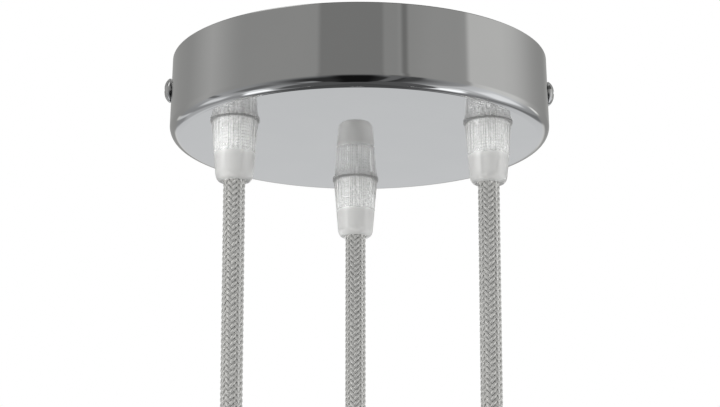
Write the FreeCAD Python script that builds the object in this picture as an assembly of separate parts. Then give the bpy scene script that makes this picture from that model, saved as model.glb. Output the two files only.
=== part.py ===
import FreeCAD, Part
import math
import os
from FreeCAD import Vector

# Three-way electrical ceiling rose, in millimetres.
# The origin is on the ceiling plane, at the centre of the bracket; +Z points up into the ceiling.
# The side screws lie on the X axis, and the near pair of cord grips is on the -Y side.

# Rose cup
cup_diameter = 120.0
cup_height = 25.8
cup_wall = 1.0
cup_edge_radius = 3.8
rim_draft = 0.6
side_hole_diameter = 4.4
side_screw_drop = 9.5

# Cord grips, evenly spaced round the cup's axis, with their own axes this far in from its edge
grip_inset = 15.0
grip_names = ("back", "left", "right")
first_grip_angle = 90.0

# Textile cord and its three cores
cord_diameter = 6.6
sheath_wall = 0.85
core_gap = 0.05
conductor_diameter = 1.0
sheath_stand_out = 1.5
cord_drop = 127.0
core_tail = 12.0
tail_spread = 0.65

# Grip cap, a clear thimble
cap_flange_diameter = 15.2
cap_flange_thickness = 0.6
cap_neck_drop = 1.5
cap_neck_diameter = 14.3
cap_tip_diameter = 11.7
cap_length = 19.7
cap_tip_round = 3.0
cap_end_lip = 0.8
cap_cord_clearance = 0.2
rib_count = 24
rib_depth = 0.45
flute_width = 0.75

# Threaded rod of the grip
rod_diameter = 10.0
rod_insertion = 10.6
rod_stand_out = 1.5
rod_chamfer = 0.4
rod_cord_clearance = 0.3
rod_hole_clearance = 0.2
thread_clearance = 0.03

# Collet, the slit clamping ring
collet_length = 5.8
collet_gap = 0.15
collet_tip_wall = 0.6
collet_seat_clearance = 0.06
collet_cord_clearance = 0.02
collet_slit_width = 0.5
collet_slit_depth = 4.4
collet_slit_count = 6

# Lock washer and lock nut
washer_diameter = 16.0
washer_thickness = 1.0
washer_tooth_count = 16
washer_tooth_depth = 1.1
washer_tooth_width = 1.2
nut_across_flats = 14.0
nut_thickness = 3.5
nut_chamfer = 0.7

# Ceiling bracket
bracket_width = 20.0
bracket_thickness = 1.5
bracket_bend_radius = 1.5
bracket_shoulder = 8.0
ear_width = 14.0
ear_corner_radius = 3.0
ear_margin = 6.0
ear_wall_clearance = 1.0
slot_spacing = 60.0
slot_length = 20.0
slot_width = 4.6
supply_hole_diameter = 10.5
collar_wall = 1.1
collar_length = 1.6

# Side screws
screw_diameter = 4.0
screw_head_diameter = 7.7
screw_head_height = 2.1
screw_head_rim = 0.6
screw_tail = 2.0
screw_tip_bevel = 0.5
recess_width = 0.9
recess_reach = 4.6
recess_depth = 1.2

# Earth screw, ring terminal and lead
earth_screw_x = -12.8
earth_head_diameter = 7.0
earth_head_height = 2.0
earth_slot_width = 0.9
earth_slot_depth = 1.0
earth_tip_gap = 0.1
ring_outer_diameter = 7.6
ring_thickness = 0.8
ring_neck_width = 3.4
ring_hole_clearance = 0.2
barrel_start = 10.8
barrel_length = 5.7
barrel_wall = 0.63
crimp_clearance = 0.02

# Terminal block, lying on the floor of the cup
block_centre_y = -15.0
pole_pitch = 10.0
pole_count = 3
block_length = 16.0
block_floor = 0.7
block_wall = 0.95
insert_clearance = 0.05
brass_wall = 1.0
brass_setback = 1.0
wire_gap = 0.2
entry_clearance = 0.3
tower_spacing = 8.4
tower_diameter = 5.8
tower_height = 6.9
tower_bore_clearance = 0.15
web_width = 5.0
web_height = 4.0
fixing_hole_diameter = 2.6
terminal_screw_diameter = 3.0
terminal_head_diameter = 3.5
terminal_head_height = 1.6
terminal_head_recess = 0.8
terminal_slot_width = 0.6
terminal_slot_depth = 0.8
conductor_insertion = 4.6

# Collar on the cut end of the braid, and ferrules on the cores
collar_height = 9.0
collar_wall_thickness = 0.3
collar_overhang = 1.0
sleeve_clearance = 0.05
ferrule_skirt = 4.0
ferrule_skirt_wall = 0.38
ferrule_tube = 7.0
ferrule_tube_wall = 0.25
ferrule_shoulder = 1.0

# Arcs of the screws' domes and the caps' tips pass through these shares of their width and height
dome_share = (0.72, 0.68)
tip_share = (0.72, 0.32)

# How far a cutting solid runs past what it cuts
cut_margin = 1.0

# Worked out from the sizes above
cup_radius = cup_diameter / 2
cup_bore = cup_radius - cup_wall
rim_radius = cup_radius - rim_draft
rim_bore = rim_radius - cup_wall
outside_z = -cup_height
floor_z = outside_z + cup_wall
edge_z = outside_z + cup_edge_radius
screw_low_z = -side_screw_drop - screw_head_diameter / 2
screw_seat_x = rim_radius + rim_draft * screw_low_z / edge_z
cord_radius = cord_diameter / 2
sheath_bore = cord_radius - sheath_wall
core_radius = (sheath_bore - core_gap * (1 + 1 / math.sqrt(3))) / (1 + 2 / math.sqrt(3))
core_offset = (2 * core_radius + core_gap) / math.sqrt(3)
conductor_radius = conductor_diameter / 2
rod_radius = rod_diameter / 2
rod_bore = cord_radius + rod_cord_clearance
rod_top_z = floor_z + washer_thickness + nut_thickness + rod_stand_out
rod_bottom_z = outside_z - rod_insertion
sheath_top_z = rod_top_z + sheath_stand_out
rib_crest = rod_radius + thread_clearance
rib_root = rib_crest + rib_depth
collet_bore = cord_radius + collet_cord_clearance
collet_tip_radius = collet_bore + collet_tip_wall
collet_top_z = rod_bottom_z - collet_gap
collet_bottom_z = collet_top_z - collet_length
seat_top_radius = rib_root
seat_bottom_radius = collet_tip_radius + collet_seat_clearance
cap_bore = cord_radius + cap_cord_clearance
ear_face_x = rim_bore - ear_wall_clearance
ear_z = -side_screw_drop - ear_margin
plate_bottom_z = -bracket_thickness
wiring_height = plate_bottom_z - floor_z
cord_end_z = -cord_drop
core_end_z = cord_end_z - core_tail
conductor_end_z = core_end_z - ferrule_tube
wire_spacing = 2 * core_radius + wire_gap
terminal_bore = wire_spacing / 2 + conductor_radius + wire_gap
brass_radius = terminal_bore + brass_wall
barrel_radius = brass_radius + insert_clearance + block_wall
pole_z = floor_z + block_floor + barrel_radius
lower_wire_z = pole_z - wire_spacing / 2
upper_wire_z = pole_z + wire_spacing / 2
block_half = block_length / 2
brass_half = block_half - brass_setback
insulation_x = brass_half + insert_clearance + wire_gap
conductor_x = insulation_x - conductor_insertion
pole_y = {
    "earth": block_centre_y - pole_pitch,
    "blue": block_centre_y,
    "brown": block_centre_y + pole_pitch,
}
grip_circle_radius = cup_radius - grip_inset
grip_place = {}
for number, grip_name in enumerate(grip_names):
    grip_angle = math.radians(first_grip_angle + 360.0 * number / len(grip_names))
    grip_place[grip_name] = (
        grip_circle_radius * math.cos(grip_angle),
        grip_circle_radius * math.sin(grip_angle),
    )
# Where each core lies in its sheath, as an angle round the cord, so that no two cores cross in the cup
core_angles = {
    "left": {"earth": 270.0, "blue": 30.0, "brown": 150.0},
    "right": {"earth": 270.0, "blue": 150.0, "brown": 30.0},
    "back": {"earth": 60.0, "blue": 300.0, "brown": 180.0},
}
# A near core's loop, chosen by hand: shares of the way across and ahead to its pole, its height as a share
# of the clear height under the bracket's plate, and how much of the core's lift that point takes
near_loop = [
    (0.0, 0.0, 0.5, 1.0),
    (0.1, 0.06, 0.67, 1.0),
    (0.25, 0.18, 0.74, 1.0),
    (0.41, 0.35, 0.67, 1.0),
    (0.53, 0.52, 0.42, 1.0),
    (0.68, 0.75, 0.235, 0.4),
    (0.84, 0.95, 0.154, 0.0),
]
near_lift = {"earth": 0.0, "blue": 0.0, "brown": 0.1}
# A back core's loop: its share of the way out to its lane, how far ahead of the cord it is, and the share of
# the clear height that it is below the loop's top. Then it falls along its lane: how far outside the lane and
# how far before the pole it is, and its height as a share of the clear height.
back_lane = {"earth": 19.6, "blue": 16.9, "brown": 14.0}
back_top = {"earth": 0.835, "blue": 0.735, "brown": 0.835}
back_loop = [
    (0.0, 0.0, 0.25),
    (0.1, 3.5, 0.083),
    (0.35, 9.5, 0.025),
    (0.92, 19.0, 0.012),
]
back_fall = [
    (0.3, 14.5, 0.77),
    (0.6, 7.7, 0.63),
    (-0.2, 2.5, 0.46),
]
# The last point before the terminal: how far outside it, before it and over it
back_entry = (4.6, 0.1, 0.9)
# The earth lead's straight start, its turn towards the left and down, and its fall beside the block: how far
# outside the block, how far before the pole and how far over its axis. The last point is over the wire.
lead_start = 4.1
lead_turn = (1.7, 1.2, 3.1)
lead_fall = [
    (9.0, 3.8, 9.2),
    (8.4, 2.6, 4.2),
]
lead_entry = (4.2, 0.3, 0.4)

UP = Vector(0, 0, 1)


def cylinder(radius, bottom, top, x=0.0, y=0.0):
    """An upright cylinder between two heights."""
    return Part.makeCylinder(radius, top - bottom, Vector(x, y, bottom), UP)


def cylinder_x(radius, x_low, x_high, y, z):
    """A cylinder that lies along X."""
    return Part.makeCylinder(radius, x_high - x_low, Vector(x_low, y, z), Vector(1, 0, 0))


def block(x_low, x_high, y_low, y_high, z_low, z_high):
    """A box between three pairs of limits."""
    return Part.makeBox(x_high - x_low, y_high - y_low, z_high - z_low, Vector(x_low, y_low, z_low))


def turned(points, x=0.0, y=0.0):
    """A solid of revolution about an upright axis. A point is (radius, z), and a three-point entry
    (radius, z, middle) is an arc's end, with the point that the arc passes through before it."""
    edges = []
    last = None
    for point in points + points[:1]:
        here = Vector(point[0], 0, point[1])
        if last is not None and here.distanceToPoint(last) > 1e-7:
            if len(point) == 3:
                middle = Vector(point[2][0], 0, point[2][1])
                edges.append(Part.Arc(last, middle, here).toShape())
            else:
                edges.append(Part.makeLine(last, here))
        last = here
    solid = Part.Face(Part.Wire(edges)).revolve(Vector(0, 0, 0), UP, 360)
    solid.translate(Vector(x, y, 0))
    return solid


def quarter_point(centre_radius, centre_z, radius, degrees):
    """A point on an arc in the (radius, z) plane."""
    angle = math.radians(degrees)
    return (centre_radius + radius * math.cos(angle), centre_z + radius * math.sin(angle))


def ring_pattern(shape, count, x=0.0, y=0.0):
    """Copies of a shape, evenly spaced round an upright axis."""
    copies = []
    for i in range(count):
        copy = shape.copy()
        copy.rotate(Vector(x, y, 0), UP, 360.0 * i / count)
        copies.append(copy)
    return copies


def rounded_path(points):
    """Straight runs joined by tangent arcs, each arc as large as its two runs allow."""
    corners = [Vector(*p) for p in points]
    edges = []
    radii = []
    start = corners[0]
    for before, here, after in zip(corners, corners[1:], corners[2:]):
        run_in = here.sub(before)
        run_out = after.sub(here)
        turn = run_in.getAngle(run_out)
        reach = 0.45 * min(run_in.Length, run_out.Length)
        radius = reach / math.tan(turn / 2)
        a = here.sub(run_in.normalize().multiply(reach))
        b = here.add(run_out.normalize().multiply(reach))
        inward = a.add(b).multiply(0.5).sub(here)
        to_centre = math.hypot(radius, reach)
        middle = here.add(inward.normalize().multiply(to_centre - radius))
        edges.append(Part.makeLine(start, a))
        edges.append(Part.Arc(a, middle, b).toShape())
        radii.append(radius)
        start = b
    edges.append(Part.makeLine(start, corners[-1]))
    print("bend radii:", ", ".join(f"{radius:.1f}" for radius in radii))
    return Part.Wire(edges)


def tube_along(points, radius):
    """A round solid that follows a rounded path."""
    path = rounded_path(points)
    start = Vector(*points[0])
    towards = Vector(*points[1]).sub(start)
    section = Part.Wire(Part.makeCircle(radius, start, towards))
    solid = path.makePipeShell([section], True, False)
    return solid


def rose_cup():
    """The drawn cup: a flat underside with three cord holes, a round edge and two side holes."""
    flat = cup_radius - cup_edge_radius
    inner_round = cup_edge_radius - cup_wall
    outer_middle = quarter_point(flat, edge_z, cup_edge_radius, -45)
    inner_middle = quarter_point(flat, edge_z, inner_round, -45)
    cup = turned([
        (0, outside_z),
        (flat, outside_z),
        (cup_radius, edge_z, outer_middle),
        (rim_radius, 0),
        (rim_bore, 0),
        (cup_bore, edge_z),
        (flat, floor_z, inner_middle),
        (0, floor_z),
    ])
    for x, y in grip_place.values():
        hole = rod_radius + rod_hole_clearance
        cup = cup.cut(cylinder(hole, outside_z - cut_margin, floor_z + cut_margin, x, y))
    reach = cup_radius + cut_margin
    return cup.cut(cylinder_x(side_hole_diameter / 2, -reach, reach, 0, -side_screw_drop))


def slot(x_centre, length, width, z_low, z_high):
    """A round-ended slot along X, as the solid to cut away."""
    half = length / 2 - width / 2
    ends = [cylinder(width / 2, z_low, z_high, x_centre + side * half) for side in (-1, 1)]
    middle = block(x_centre - half, x_centre + half, -width / 2, width / 2, z_low, z_high)
    return middle.fuse(ends)


def bracket_profile():
    """The strip's section: a flat plate with an ear bent down at each end."""
    outer = bracket_bend_radius + bracket_thickness
    inner = bracket_bend_radius
    centre_x = ear_face_x - outer
    edges = []

    def corner(side, radius):
        middle = quarter_point(centre_x, -outer, radius, 45)
        return (
            Vector(side * centre_x, 0, -outer + radius),
            Vector(side * middle[0], 0, middle[1]),
            Vector(side * (centre_x + radius), 0, -outer),
        )

    right_outer = corner(1, outer)
    right_inner = corner(1, inner)
    left_outer = corner(-1, outer)
    left_inner = corner(-1, inner)
    ear_low = {
        "right_outer": Vector(ear_face_x, 0, ear_z),
        "right_inner": Vector(ear_face_x - bracket_thickness, 0, ear_z),
        "left_outer": Vector(-ear_face_x, 0, ear_z),
        "left_inner": Vector(-ear_face_x + bracket_thickness, 0, ear_z),
    }
    edges.append(Part.makeLine(left_outer[0], right_outer[0]))
    edges.append(Part.Arc(*right_outer).toShape())
    edges.append(Part.makeLine(right_outer[2], ear_low["right_outer"]))
    edges.append(Part.makeLine(ear_low["right_outer"], ear_low["right_inner"]))
    edges.append(Part.makeLine(ear_low["right_inner"], right_inner[2]))
    edges.append(Part.Arc(right_inner[2], right_inner[1], right_inner[0]).toShape())
    edges.append(Part.makeLine(right_inner[0], left_inner[0]))
    edges.append(Part.Arc(*left_inner).toShape())
    edges.append(Part.makeLine(left_inner[2], ear_low["left_inner"]))
    edges.append(Part.makeLine(ear_low["left_inner"], ear_low["left_outer"]))
    edges.append(Part.makeLine(ear_low["left_outer"], left_outer[2]))
    edges.append(Part.Arc(left_outer[2], left_outer[1], left_outer[0]).toShape())
    return Part.Face(Part.Wire(edges))


def ceiling_bracket():
    """A bent strip with two screw slots, a cable hole, an earth hole and a threaded collar in each ear."""
    half = bracket_width / 2
    strip = bracket_profile().extrude(Vector(0, bracket_width, 0))
    strip.translate(Vector(0, -half, 0))
    ear_half = ear_width / 2
    shoulder_x = ear_face_x - bracket_shoulder
    plan = [
        (-ear_face_x, -ear_half),
        (-shoulder_x, -half),
        (shoulder_x, -half),
        (ear_face_x, -ear_half),
        (ear_face_x, ear_half),
        (shoulder_x, half),
        (-shoulder_x, half),
        (-ear_face_x, ear_half),
        (-ear_face_x, -ear_half),
    ]
    outline = Part.makePolygon([Vector(x, y, -cup_height) for x, y in plan])
    strip = strip.common(Part.Face(outline).extrude(Vector(0, 0, 2 * cup_height)))
    corners = [
        edge for edge in strip.Edges
        if edge.BoundBox.ZMax < ear_z + 1e-6 + ear_corner_radius * 1e-3
        and edge.BoundBox.XLength > bracket_thickness / 2
    ]
    strip = strip.makeFillet(ear_corner_radius, corners)
    thread = screw_diameter / 2 + thread_clearance
    for side in (-1, 1):
        inner_face = side * (ear_face_x - bracket_thickness)
        tip = inner_face - side * collar_length
        low, high = sorted((inner_face, tip))
        strip = strip.fuse(cylinder_x(thread + collar_wall, low, high, 0, -side_screw_drop))
    strip = strip.cut(cylinder_x(thread, -cup_radius, cup_radius, 0, -side_screw_drop))
    for side in (-1, 1):
        strip = strip.cut(slot(side * slot_spacing / 2, slot_length, slot_width, -cup_height, cut_margin))
    strip = strip.cut(cylinder(supply_hole_diameter / 2, -cup_height, cut_margin))
    strip = strip.cut(cylinder(thread, -cup_height, cut_margin, earth_screw_x))
    return strip.removeSplitter()


def side_screw():
    """A dome-headed screw with a cross recess, modelled upright with its seat at z = 0."""
    head_radius = screw_head_diameter / 2
    dome_rise = screw_head_height - screw_head_rim
    dome_middle = (head_radius * dome_share[0], screw_head_rim + dome_rise * dome_share[1])
    length = screw_seat_x - ear_face_x + bracket_thickness + collar_length + screw_tail
    shaft = screw_diameter / 2
    bevel = screw_tip_bevel
    screw = turned([
        (0, screw_head_height),
        (0, -length),
        (shaft - bevel, -length),
        (shaft, -length + bevel),
        (shaft, 0),
        (head_radius, 0),
        (head_radius, screw_head_rim),
        (0, screw_head_height, dome_middle),
    ])
    low = screw_head_height - recess_depth
    reach = recess_reach / 2
    arm = recess_width / 2
    for across in (
        block(-reach, reach, -arm, arm, low, screw_head_height + cut_margin),
        block(-arm, arm, -reach, reach, low, screw_head_height + cut_margin),
    ):
        screw = screw.cut(across)
    return screw


def side_screws():
    """Both side screws, each with its head against the cup's wall."""
    screws = []
    for side in (-1, 1):
        screw = side_screw()
        screw.rotate(Vector(0, 0, 0), Vector(0, 1, 0), 90 * side)
        screw.translate(Vector(side * screw_seat_x, 0, -side_screw_drop))
        screws.append(screw)
    return Part.makeCompound(screws)


def grip_cap(x, y):
    """The clear thimble: a small flange, a tapered body, a rounded tip, and a ribbed bore that the
    rod's thread bites into, above a cone that closes the collet."""
    end_flat = cap_bore + cap_end_lip
    end_z = outside_z - cap_length
    tip = cap_tip_diameter / 2
    round_z = end_z + cap_tip_round
    swing = tip - end_flat
    round_middle = (end_flat + swing * tip_share[0], end_z + cap_tip_round * tip_share[1])
    seat_top_z = collet_top_z + collet_gap
    seat_bottom_z = collet_bottom_z - collet_gap
    cap = turned([
        (rib_crest, outside_z),
        (cap_flange_diameter / 2, outside_z),
        (cap_flange_diameter / 2, outside_z - cap_flange_thickness),
        (cap_neck_diameter / 2, outside_z - cap_neck_drop),
        (tip, round_z),
        (end_flat, end_z, round_middle),
        (cap_bore, end_z),
        (cap_bore, seat_bottom_z),
        (seat_bottom_radius, seat_bottom_z),
        (seat_top_radius, seat_top_z),
        (rib_crest, seat_top_z),
    ], x, y)
    half = flute_width / 2
    flute = block(x, x + rib_root, y - half, y + half, seat_top_z, outside_z + cut_margin)
    for cut in ring_pattern(flute, rib_count, x, y):
        cap = cap.cut(cut)
    return cap


def grip_rod(x, y):
    """The hollow threaded rod, from the collet up through the cup's floor, washer and nut."""
    chamfer = rod_chamfer
    return turned([
        (rod_bore, rod_bottom_z),
        (rod_radius - chamfer, rod_bottom_z),
        (rod_radius, rod_bottom_z + chamfer),
        (rod_radius, rod_top_z - chamfer),
        (rod_radius - chamfer, rod_top_z),
        (rod_bore, rod_top_z),
    ], x, y)


def grip_collet(x, y):
    """The slit ring that the rod pushes into the cap's cone, so that it closes on the cord."""
    seat_length = collet_length + 2 * collet_gap
    slope = (seat_top_radius - seat_bottom_radius) / seat_length
    top = seat_top_radius - slope * collet_gap - collet_seat_clearance
    bottom = seat_bottom_radius + slope * collet_gap - collet_seat_clearance
    collet = turned([
        (collet_bore, collet_bottom_z),
        (bottom, collet_bottom_z),
        (top, collet_top_z),
        (collet_bore, collet_top_z),
    ], x, y)
    half = collet_slit_width / 2
    slit_top_z = collet_bottom_z + collet_slit_depth
    slit = block(x, x + rod_diameter, y - half, y + half, collet_bottom_z - cut_margin, slit_top_z)
    for cut in ring_pattern(slit, collet_slit_count, x, y):
        collet = collet.cut(cut)
    return collet


def lock_washers():
    """Toothed washers on the cup's floor, one round each rod."""
    washers = []
    half = washer_tooth_width / 2
    for x, y in grip_place.values():
        washer = cylinder(washer_diameter / 2, floor_z, floor_z + washer_thickness, x, y)
        washer = washer.cut(cylinder(rod_radius + rod_hole_clearance, floor_z - cut_margin, 0, x, y))
        inner = washer_diameter / 2 - washer_tooth_depth
        notch = block(x + inner, x + washer_diameter, y - half, y + half, floor_z - cut_margin, 0)
        for cut in ring_pattern(notch, washer_tooth_count, x, y):
            washer = washer.cut(cut)
        washers.append(washer)
    return Part.makeCompound(washers)


def lock_nuts():
    """Hexagon nuts that clamp the rods to the cup's floor."""
    nuts = []
    low = floor_z + washer_thickness
    high = low + nut_thickness
    corner = nut_across_flats / 2 / math.cos(math.radians(30))
    for x, y in grip_place.values():
        turns = [math.radians(60 * i) for i in range(7)]
        outline = [Vector(x + corner * math.cos(t), y + corner * math.sin(t), low) for t in turns]
        hexagon = Part.Face(Part.makePolygon(outline)).extrude(Vector(0, 0, nut_thickness))
        bevel = turned([
            (0, low),
            (corner, low),
            (corner, high - nut_chamfer),
            (nut_across_flats / 2, high),
            (0, high),
        ], x, y)
        nut = hexagon.common(bevel)
        nuts.append(nut.cut(cylinder(rib_crest, low - cut_margin, high + cut_margin, x, y)))
    return Part.makeCompound(nuts)


def cord_sheath(x, y):
    """The cord's sheath with its textile braid, straight down from the cup."""
    return cylinder(cord_radius, cord_end_z, sheath_top_z, x, y).cut(
        cylinder(sheath_bore, cord_end_z - cut_margin, sheath_top_z + cut_margin, x, y)
    )


def end_collar(x, y):
    """A thin sleeve that binds the cut end of the braid."""
    inner = cord_radius + sleeve_clearance
    outer = inner + collar_wall_thickness
    lip = core_offset + core_radius + 2 * core_gap
    low = cord_end_z - collar_overhang
    return turned([
        (lip, low),
        (outer - collar_wall_thickness, low),
        (outer, low + collar_wall_thickness),
        (outer, low + collar_height),
        (inner, low + collar_height),
        (inner, cord_end_z - sleeve_clearance),
        (lip, cord_end_z - sleeve_clearance),
    ], x, y)


def core_line(place, colour, reach):
    """The point beside a cord's axis where a core runs, reach away from it."""
    x, y = grip_place[place]
    angle = math.radians(core_angles[place][colour])
    return x + reach * math.cos(angle), y + reach * math.sin(angle)


def tail_points(place, colour):
    """The lowest stretch of a core: its cut end, the spread tail, and the way into the sheath."""
    wide = core_line(place, colour, core_offset + tail_spread)
    close = core_line(place, colour, core_offset)
    return [
        (*wide, core_end_z),
        (*wide, cord_end_z - core_tail * 0.5),
        (*close, cord_end_z - core_tail * 0.2),
    ]


def near_route(place, colour):
    """A near cord's core: up out of the sheath, over in a loop, and into its pole from the side."""
    side = -1 if place == "left" else 1
    x, y = core_line(place, colour, core_offset)
    across = side * insulation_x - x
    ahead = pole_y[colour] - y
    route = []
    for out, forward, height, lifted in near_loop:
        share = height + lifted * near_lift[colour]
        route.append((x + out * across, y + forward * ahead, floor_z + share * wiring_height))
    return tail_points(place, colour) + route + [(side * insulation_x, pole_y[colour], lower_wire_z)]


def back_route(colour):
    """The back cord's core: up, forwards under the bracket's plate, and down into its pole."""
    x, y = core_line("back", colour, core_offset)
    target_y = pole_y[colour]
    lane = back_lane[colour]
    route = []
    for out, ahead, below in back_loop:
        height = floor_z + (back_top[colour] - below) * wiring_height
        route.append((x + out * (lane - x), y - ahead, height))
    for outside, before, share in back_fall:
        route.append((lane + outside, target_y + before, floor_z + share * wiring_height))
    outside, before, over = back_entry
    route.append((insulation_x + outside, target_y + before, upper_wire_z + over))
    route.append((insulation_x, target_y, upper_wire_z))
    return tail_points("back", colour) + route


def wired_core(points, side, wire_z, target_y):
    """A core's insulation along its route, with bare strands in the terminal and, on a tail, the ferrule."""
    low, high = sorted((side * conductor_x, side * (insulation_x + conductor_radius)))
    core = tube_along(points, core_radius)
    strands = [cylinder_x(conductor_radius, low, high, target_y, wire_z)]
    return core.fuse(strands)


def core(place, colour):
    """One core of one cord, from its pole in the terminal block to the cord's free end."""
    if place == "back":
        points, side, wire_z = back_route(colour), 1, upper_wire_z
    else:
        points, side, wire_z = near_route(place, colour), -1 if place == "left" else 1, lower_wire_z
    wire = wired_core(points, side, wire_z, pole_y[colour])
    x, y = points[0][:2]
    return wire.fuse(cylinder(conductor_radius, conductor_end_z, core_end_z + conductor_radius, x, y))


def ferrules():
    """Crimped ferrules on the cores' free ends."""
    made = []
    skirt_inner = core_radius + crimp_clearance
    tube_inner = conductor_radius + crimp_clearance
    for place in grip_place:
        for colour in pole_y:
            x, y = core_line(place, colour, core_offset + tail_spread)
            made.append(turned([
                (tube_inner, conductor_end_z),
                (tube_inner + ferrule_tube_wall, conductor_end_z),
                (tube_inner + ferrule_tube_wall, core_end_z - ferrule_shoulder),
                (skirt_inner + ferrule_skirt_wall, core_end_z),
                (skirt_inner + ferrule_skirt_wall, core_end_z + ferrule_skirt),
                (skirt_inner, core_end_z + ferrule_skirt),
                (skirt_inner, core_end_z - crimp_clearance),
                (tube_inner, core_end_z - crimp_clearance),
            ], x, y))
    return Part.makeCompound(made)


def terminal_block_body():
    """The moulded block: a barrel for each pole, two screw towers on it, and webs with fixing holes."""
    poles = []
    hollows = []
    for y in pole_y.values():
        poles.append(cylinder_x(barrel_radius, -block_half, block_half, y, pole_z))
        poles.append(block(-block_half, block_half, y - barrel_radius, y + barrel_radius, floor_z, pole_z))
        hollows.append(cylinder_x(brass_radius + insert_clearance, -brass_half - insert_clearance,
                                  brass_half + insert_clearance, y, pole_z))
        entry = wire_spacing / 2 + core_radius + entry_clearance
        hollows.append(cylinder_x(entry, -block_length, block_length, y, pole_z))
        for side in (-1, 1):
            x = side * tower_spacing / 2
            poles.append(cylinder(tower_diameter / 2, pole_z, pole_z + tower_height, x, y))
            bore = terminal_head_diameter / 2 + tower_bore_clearance
            hollows.append(cylinder(bore, pole_z, pole_z + tower_height + cut_margin, x, y))
    for i in range(pole_count - 1):
        y = block_centre_y + pole_pitch * (i + 0.5 - (pole_count - 1) / 2)
        gap = pole_pitch / 2
        poles.append(block(-web_width / 2, web_width / 2, y - gap, y + gap, floor_z, floor_z + web_height))
        hollows.append(cylinder(fixing_hole_diameter / 2, floor_z - cut_margin, pole_z + tower_height, 0, y))
    body = poles[0].fuse(poles[1:]).removeSplitter()
    for hollow in hollows:
        body = body.cut(hollow)
    return body


def terminal_sleeves():
    """The brass sleeves in the block, each with two threaded holes for its screws."""
    sleeves = []
    for y in pole_y.values():
        sleeve = cylinder_x(brass_radius, -brass_half, brass_half, y, pole_z)
        sleeve = sleeve.cut(cylinder_x(terminal_bore, -block_half, block_half, y, pole_z))
        for side in (-1, 1):
            thread = terminal_screw_diameter / 2 + thread_clearance
            sleeve = sleeve.cut(cylinder(thread, pole_z, pole_z + tower_height, side * tower_spacing / 2, y))
        sleeves.append(sleeve)
    return Part.makeCompound(sleeves)


def terminal_screws():
    """Slotted screws in the towers, with their tips just over the upper wire."""
    screws = []
    tip = upper_wire_z + conductor_radius + wire_gap / 2
    top = pole_z + tower_height - terminal_head_recess
    under_head = top - terminal_head_height
    half = terminal_slot_width / 2
    for y in pole_y.values():
        for side in (-1, 1):
            x = side * tower_spacing / 2
            screw = cylinder(terminal_screw_diameter / 2, tip, under_head, x, y)
            screw = screw.fuse(cylinder(terminal_head_diameter / 2, under_head, top, x, y))
            reach = terminal_head_diameter
            groove_z = top - terminal_slot_depth
            screw = screw.cut(block(x - reach, x + reach, y - half, y + half, groove_z, top + cut_margin))
            screws.append(screw)
    return Part.makeCompound(screws)


def earth_screw():
    """The earth screw, up through the ring terminal into the bracket's plate."""
    seat = plate_bottom_z - ring_thickness
    low = seat - earth_head_height
    shaft = cylinder(screw_diameter / 2, seat, -earth_tip_gap, earth_screw_x)
    head = cylinder(earth_head_diameter / 2, low, seat, earth_screw_x)
    reach = earth_head_diameter
    half = earth_slot_width / 2
    left, right = earth_screw_x - reach, earth_screw_x + reach
    groove = block(left, right, -half, half, low - cut_margin, low + earth_slot_depth)
    return shaft.fuse(head).cut(groove)


def earth_ring_terminal():
    """A crimped ring terminal under the earth screw, with its barrel past the bracket's edge."""
    low = plate_bottom_z - ring_thickness
    axis_z = plate_bottom_z - ring_thickness / 2
    barrel_bore = core_radius + crimp_clearance
    ring = cylinder(ring_outer_diameter / 2, low, plate_bottom_z, earth_screw_x)
    half = ring_neck_width / 2
    x = earth_screw_x
    neck = block(x - half, x + half, -barrel_start - barrel_wall, 0, low, plate_bottom_z)
    forward = Vector(0, -1, 0)
    mouth = Vector(x, -barrel_start, axis_z)
    barrel = Part.makeCylinder(barrel_bore + barrel_wall, barrel_length, mouth, forward)
    terminal = ring.fuse([neck, barrel])
    bore_start = Vector(x, -barrel_start - barrel_wall, axis_z)
    bore = Part.makeCylinder(barrel_bore, barrel_length, bore_start, forward)
    hole = cylinder(screw_diameter / 2 + ring_hole_clearance, low - cut_margin, 0, x)
    return terminal.cut(bore).cut(hole).removeSplitter()


def earth_lead():
    """The lead from the ring terminal down to the earth pole, beside the left cord's core."""
    axis_z = plate_bottom_z - ring_thickness / 2
    start_y = -barrel_start - barrel_wall - crimp_clearance
    target_y = pole_y["earth"]
    left, ahead, down = lead_turn
    points = [
        (earth_screw_x, start_y, axis_z),
        (earth_screw_x, -barrel_start - barrel_length - lead_start, axis_z),
        (earth_screw_x - left, target_y - ahead, axis_z - down),
    ]
    for outside, before, over in lead_fall:
        points.append((-block_half - outside, target_y - before, pole_z + over))
    outside, before, over = lead_entry
    points.append((-block_half - outside, target_y - before, upper_wire_z + over))
    points.append((-insulation_x, target_y, upper_wire_z))
    return wired_core(points, -1, upper_wire_z, target_y)


def build():
    """Every piece of the rose by its node name."""
    pieces = {
        "rose_cup": rose_cup(),
        "ceiling_bracket": ceiling_bracket(),
        "side_screws": side_screws(),
        "lock_washers": lock_washers(),
        "lock_nuts": lock_nuts(),
        "terminal_block_body": terminal_block_body(),
        "terminal_sleeves": terminal_sleeves(),
        "terminal_screws": terminal_screws(),
        "earth_screw": earth_screw(),
        "earth_ring_terminal": earth_ring_terminal(),
        "earth_lead": earth_lead(),
        "ferrules": ferrules(),
    }
    for place, (x, y) in grip_place.items():
        pieces[f"grip_cap_{place}"] = grip_cap(x, y)
        pieces[f"grip_rod_{place}"] = grip_rod(x, y)
        pieces[f"grip_collet_{place}"] = grip_collet(x, y)
        pieces[f"cord_{place}"] = cord_sheath(x, y)
        pieces[f"end_collar_{place}"] = end_collar(x, y)
        for colour in pole_y:
            pieces[f"core_{colour}_{place}"] = core(place, colour)
    return pieces


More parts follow.
